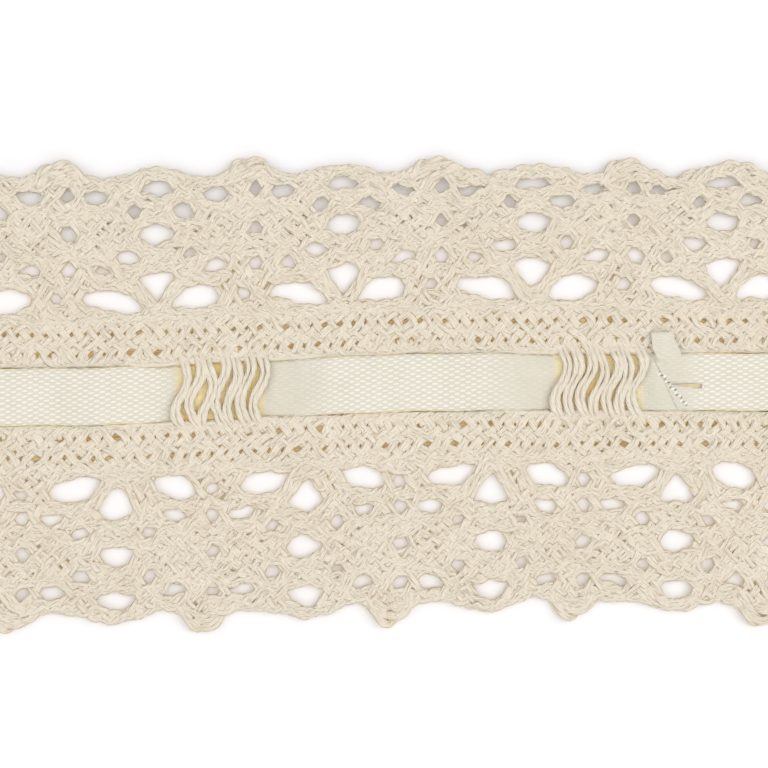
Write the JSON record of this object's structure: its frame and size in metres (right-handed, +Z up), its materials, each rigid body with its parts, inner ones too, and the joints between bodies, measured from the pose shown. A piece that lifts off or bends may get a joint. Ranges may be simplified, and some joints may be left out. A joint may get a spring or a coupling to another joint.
{
  "type": "cut length of ribbon-threaded lace trim",
  "caption": "Flat cut length of ecru cotton beading lace with scalloped edges and an ivory ribbon threaded along its middle, with a joint in the ribbon.",
  "frame": {"origin": "middle of the strip's bounding box, on the surface it lies on", "axes": "+X along the strip, +Y across it towards the upper border in the picture, +Z up out of the face"},
  "size_m": [0.1286, 0.0508, 0.0027],
  "materials": {
    "cotton": "soft ecru cotton yarn",
    "ribbon": "ivory woven taffeta"
  },
  "bodies": {
    "root": {"lace": "cotton", "ribbon_left": "ribbon", "ribbon_right": "ribbon"}
  },
  "joints": []
}
